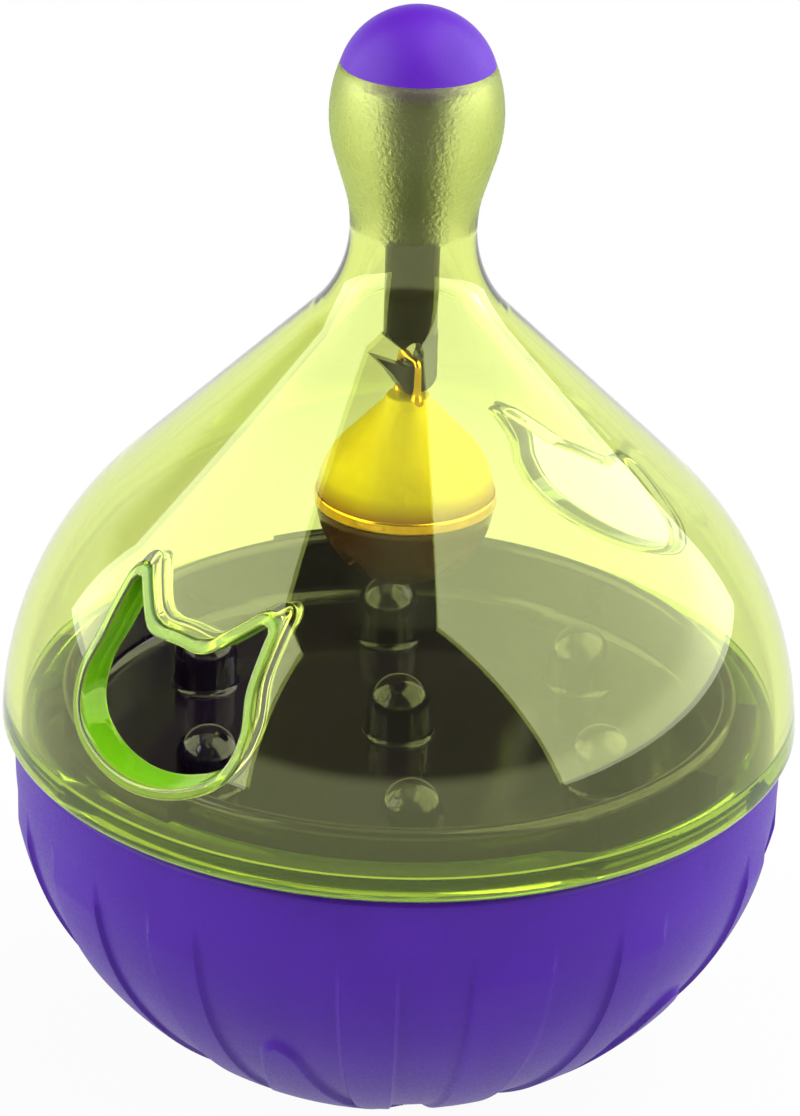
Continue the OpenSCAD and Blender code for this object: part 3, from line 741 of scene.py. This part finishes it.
def traceCat():
    # half of the outline from chin to crown, mirrored, with smooth outward directions
    h = holeShape
    grow = h["traceGrow"]
    p = np.array([0.0, h["crownY"] - h["crownArc"] - grow])
    path = [p]
    while len(path) < h["traceMost"]:
        slope = catSlope(*p)
        p = p + h["traceStep"] * np.array([-slope[1], slope[0]]) / np.linalg.norm(slope)
        for _ in range(3):
            slope = catSlope(*p)
            p = p - slope * (catDistance(*p) - grow) / slope.dot(slope)
        if p[0] <= 0 and len(path) > h["traceLeast"]:
            break
        path.append(p)
    path = np.array(path)
    length = np.concatenate([[0], np.cumsum(np.linalg.norm(np.diff(path, axis=0), axis=1))])
    marks = (np.arange(h["points"] // 2) + 0.5) / (h["points"] // 2) * length[-1]
    half = np.stack([np.interp(marks, length, path[:, 0]), np.interp(marks, length, path[:, 1])], -1)
    outline = np.vstack([half, half[::-1] * (-1, 1)])
    slopes = np.array([catSlope(*q) for q in outline])
    slopes /= np.linalg.norm(slopes, axis=1)[:, None]
    reach = range(-h["blurReach"], h["blurReach"] + 1)
    blur = np.exp(-0.5 * (np.array(reach) / h["blurWidth"]) ** 2)
    smooth = sum(w * np.roll(slopes, k, axis=0) for k, w in zip(reach, blur / blur.sum()))
    return outline, smooth / np.linalg.norm(smooth, axis=1)[:, None]


def growCat(outline, aside, grow):
    # the outline of the hole's edge moved out by grow, along the outward directions
    low, high = (np.full(len(outline), end) for end in holeShape["growSearch"])
    for _ in range(holeShape["halvings"]):
        middle = (low + high) / 2
        q = outline + aside * middle[:, None]
        out = catDistance(q[:, 0], q[:, 1]) > grow
        high = np.where(out, middle, high)
        low = np.where(out, low, middle)
    return outline + aside * ((low + high) / 2)[:, None]


def buildDome():
    d, h = domeShape, holeShape
    turns = np.arange(d["columns"]) * 360 / d["columns"] - 180
    cols = len(turns)
    around = np.stack([np.cos(np.radians(turns)), np.sin(np.radians(turns))], -1)
    verts, faces = [], []

    def addRows(line):
        first = len(verts)
        for r, z in line:
            verts.extend(np.column_stack([around * np.reshape(r, (-1, 1)), np.full(cols, z)]))
        return first

    outline, aside = traceCat()
    grown = {}
    for grow in {row[0] for row in h["sleeve"]}:
        grown[grow] = growCat(outline, aside, grow)

    def holeRow(grow, depth, spin):
        x = grown[grow][:, 0]
        z = h["middleZ"] + grown[grow][:, 1]
        y = -np.sqrt(domeRadius(z, depth) ** 2 - x * x)
        return np.column_stack([x * spin, y * spin, z])

    def addFace(line, grow, depth):
        # a wall surface with a cat-head patch cut out at the front and at the back
        first = addRows(line)
        low = int(np.argmax(line[:, 1] > h["patch"][0]))
        high = int(np.argmax(line[:, 1] > h["patch"][1]))
        run = np.concatenate([[0], np.cumsum(np.linalg.norm(np.diff(line, axis=0), axis=1))])
        scale = h["flatR"] * math.pi / 180
        taken = np.zeros(cols, bool)
        for spin, front in ((1, -90.0), (-1, 90.0)):
            off = turns - front
            off = (off + 180) % 360 - 180
            inPatch = np.where(np.abs(off) <= h["halfAngle"])[0]
            inPatch = inPatch[np.argsort(off[inPatch])]
            taken[inPatch[:-1]] = True
            flat, index = [], []
            for i in range(low, high + 1):
                for n, j in enumerate(inPatch):
                    edge = i in (low, high) or n in (0, len(inPatch) - 1)
                    r, z = line[i]
                    x = r * math.sin(math.radians(off[j]))
                    if edge or catDistance(x, z - h["middleZ"]) > grow + h["patchGap"]:
                        flat.append(Vector((off[j] * scale, run[i])))
                        index.append(first + i * cols + j)
            row = holeRow(grow, depth, 1)
            start = len(flat)
            rowFirst = len(verts)
            verts.extend(row * (spin, spin, 1))
            for n, (x, y, z) in enumerate(row):
                turn = math.degrees(math.atan2(x, -y))
                flat.append(Vector((turn * scale, np.interp(z, line[:, 1], run))))
                index.append(rowFirst + n)
            count = len(row)
            ring = [(start + n, start + (n + 1) % count) for n in range(count)]
            out = delaunay_2d_cdt(flat, ring, [], 0, 1e-6)
            spots, tris, origin = out[0], out[2], out[3]
            for tri in tris:
                mid = sum((spots[v] for v in tri), Vector((0, 0))) / 3
                r, z = np.interp(mid[1], run, line[:, 0]), np.interp(mid[1], run, line[:, 1])
                x = r * math.sin(math.radians(mid[0] / scale))
                if catDistance(x, z - h["middleZ"]) > grow - h["patchSlack"]:
                    faces.append(tuple(index[origin[v][0]] for v in tri))
        for i in range(len(line) - 1):
            for j in range(cols):
                if not (taken[j] and low <= i < high):
                    faces.append(ringCell(first, cols, i, j))

    edgeZ = d["rimZ"] + d["edgeRound"]
    edgeR = float(domeRadius(edgeZ, 0)) - d["edgeRound"]
    outer = domeLine(0, edgeZ, d["seamZ"])
    inner = domeLine(d["wall"], d["ringTop"], d["neckZ"])
    addFace(outer, *h["sleeve"][0][:2])
    addFace(inner, *h["sleeve"][-1][:2])
    places, glowShares = [], []     # points of the sleeves and the rim, and their share of the painted green glow
    clear = easeStep(0.5 + h["clearTurn"] * (aside @ np.array(h["clearSide"])))
    for spin in (1, -1):
        first = len(verts)
        for grow, depth, glowShare in h["sleeve"]:
            row = holeRow(grow, depth, spin)
            verts.extend(row)
            places.extend(row)
            keep = 1 if spin > 0 else h["rearGlowShare"]
            below = easeStep((depth - h["clearFrom"]) / h["clearRun"])
            glowShares.extend(glowShare * keep * (1 - clear * below))
        faces.extend(ringFaces(len(h["sleeve"]), h["points"], first))

    # rim: round lower edge, flat underside, ring with notches, up to the inner face
    notched = np.full(cols, d["ringR"])
    for i in range(d["notches"]):
        past = (turns - d["notchFrom"] - i * 360 / d["notches"]) % 360
        gap = np.maximum(np.minimum(past - d["notchAngle"], 360 - past), 0)
        closing = easeStep(gap / d["notchEase"])
        notched = np.maximum(notched, d["notchR"] - (d["notchR"] - d["ringR"]) * closing)
    rim = [(p[0], p[1]) for p in arcPoints((edgeR, edgeZ), d["edgeRound"], 0, -90, d["edgeStep"])]
    rim[0] = tuple(outer[0])
    rim += [(notched, d["rimZ"]), (notched, d["ringTop"]), (inner[0][0], d["ringTop"])]
    first = addRows(rim)
    faces.extend(ringFaces(len(rim), cols, first))
    places.extend(verts[first + cols:-cols])
    glowShares.extend([d["rimGlowShare"]] * (len(places) - len(glowShares)))
    # top: the knob's hollow from the seam, where the cap's plug sits, down to the waist
    hollow = domeLine(d["wall"], d["ringTop"], d["seamZ"])
    hollow = [(r, z) for r, z in hollow if z > d["neckZ"] + d["waistGap"]]
    hollow = [(max(r, d["seatR"]) if z > d["seatZ"] else r, z) for r, z in hollow]
    top = [tuple(outer[-1])] + hollow[::-1] + [tuple(inner[-1])]
    faces.extend(ringFaces(len(top), cols, addRows(top)))

    dome = finishMesh("clearDome", verts, faces, domeSkin, d["sharpAngle"])
    mesh = dome.data
    frost = mesh.attributes.new("frost", "FLOAT", "POINT")
    glow = mesh.attributes.new("paintedEdgeGlow", "FLOAT", "POINT")
    nearest = KDTree(len(places))
    for i, place in enumerate(places):
        nearest.insert(place, i)
    nearest.balance()
    normals = []
    for v in mesh.vertices:
        x, y, z = (c / mm for c in v.co)
        r = math.hypot(x, y)
        depth, out = domeDepth(r, z)
        frosted = depth < d["onSkin"] and z > d["neckZ"] + d["frostFrom"]
        frost.data[v.index].value = 1.0 if frosted else 0.0
        # points on the sleeves and the rim take their share of the painted green glow
        i, gap = nearest.find((x, y, z))[1:]
        if gap < d["onSkin"]:
            glow.data[v.index].value = glowShares[i]
        # smooth walls take the face's own normal, away from their ends
        normal = (0, 0, 0)
        side = 1 if abs(depth) < d["onFace"] else -1 if abs(depth - d["wall"]) < d["onFace"] else 0
        end = d["seamZ"] if side > 0 else d["neckZ"]
        if side and d["ringTop"] + d["endGap"] < z < end - d["endGap"]:
            normal = (side * out[0] * x / r, side * out[0] * y / r, side * out[1])
        normals.append(normal)
    mesh.normals_split_custom_set_from_vertices(normals)
    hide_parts("dome", "dome_neck")
    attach(dome, "dome")


buildDome()
print("dome built")

# bell trim: a bent wire loop with soldered feet, a rolled seam round the bell and a filleted neck
bellTrim = {
    "pivotZ": 82.254, "legX": 1.72, "bend": 0.70, "legs": 4.5, "turn": 340.0,
    "wire": 0.42, "foot": 0.80, "footFrom": -2.4, "footSink": 0.1,
    "wireStep": 0.3, "bendStep": 0.12, "wireSides": 18,
    "middleZ": 66.554, "columns": 96, "sharpAngle": 60,
    # radius, and height over the bell's middle
    "seam": ((9.25, -0.47), (9.46, -0.44), (9.55, -0.36), (9.59, -0.22), (9.60, 0.10),
             (9.59, 0.50), (9.55, 0.78), (9.48, 0.92), (9.36, 0.99), (9.15, 1.00)),
    "neck": ((2.80, 10.62), (2.70, 10.84), (2.52, 11.06), (2.40, 11.28),
             (2.32, 11.48), (2.22, 11.58), (2.02, 11.62), (0.00, 11.62)),
}


def buildLoop():
    t = bellTrim
    inner = t["legX"] - t["bend"]
    leg = linePoints((t["legX"], -t["legs"] - t["footSink"]), (t["legX"], -t["bend"]), t["wireStep"])
    corner = arcPoints((inner, -t["bend"]), t["bend"], 0, 90, t["bendStep"])
    half = joinPoints(leg, corner, linePoints((inner, 0), (0, 0), t["wireStep"]))
    path = np.vstack([half, (half[:-1] * (-1, 1))[::-1]])
    sides = np.linspace(0, 2 * math.pi, t["wireSides"], endpoint=False)
    spin = math.radians(t["turn"])
    rings = []
    for i, (x, z) in enumerate(path):
        ahead = path[min(i + 1, len(path) - 1)] - path[max(i - 1, 0)]
        ahead = ahead / np.linalg.norm(ahead)
        flare = easeStep((t["footFrom"] - z) / (t["legs"] + t["footFrom"])) ** 2
        thick = t["wire"] + (t["foot"] - t["wire"]) * flare
        offX = -ahead[1] * np.cos(sides) * thick + x
        offZ = ahead[0] * np.cos(sides) * thick + z
        offY = np.sin(sides) * thick
        rings.append(np.column_stack([offX * math.cos(spin) - offY * math.sin(spin),
                                      offX * math.sin(spin) + offY * math.cos(spin), offZ + t["pivotZ"]]))
    count = len(sides)
    faces = ringFaces(len(rings), count)
    faces.append(tuple(range(count)))
    faces.append(tuple((len(rings) - 1) * count + j for j in range(count)))
    loop = finishMesh("bellLoop", np.concatenate(rings), faces, loopSkin, t["sharpAngle"])
    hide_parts("bell_loop")
    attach(loop, "bell")


def buildBellRing(name, section, closed, skin):
    t = bellTrim
    turns = np.radians(np.arange(t["columns"]) * 360 / t["columns"])
    around = np.stack([np.cos(turns), np.sin(turns)], -1)
    line = list(section) + [section[0]] if closed else list(section)
    rings = [np.column_stack([around * r, np.full(len(turns), t["middleZ"] + z)]) for r, z in line]
    faces = ringFaces(len(rings), len(turns))
    piece = finishMesh(name, np.concatenate(rings), faces, skin, t["sharpAngle"])
    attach(piece, "bell")


buildLoop()
buildBellRing("bellSeam", bellTrim["seam"], True, loopSkin)
buildBellRing("bellNeck", bellTrim["neck"], False, bellSkin)
print("bell trimmed")

# solids that keep their own shape get their finish
skins = {"tray": traySkin, "cap": capSkin, "bell_post": postSkin, "bell_shell": bellSkin,
         "counterweight": weightSkin, "weight_screw": screwSkin, "bell_pellet": pelletSkin}
for nodeName, skin in skins.items():
    nodes[nodeName].data.materials[0] = skin
print("finishes given")
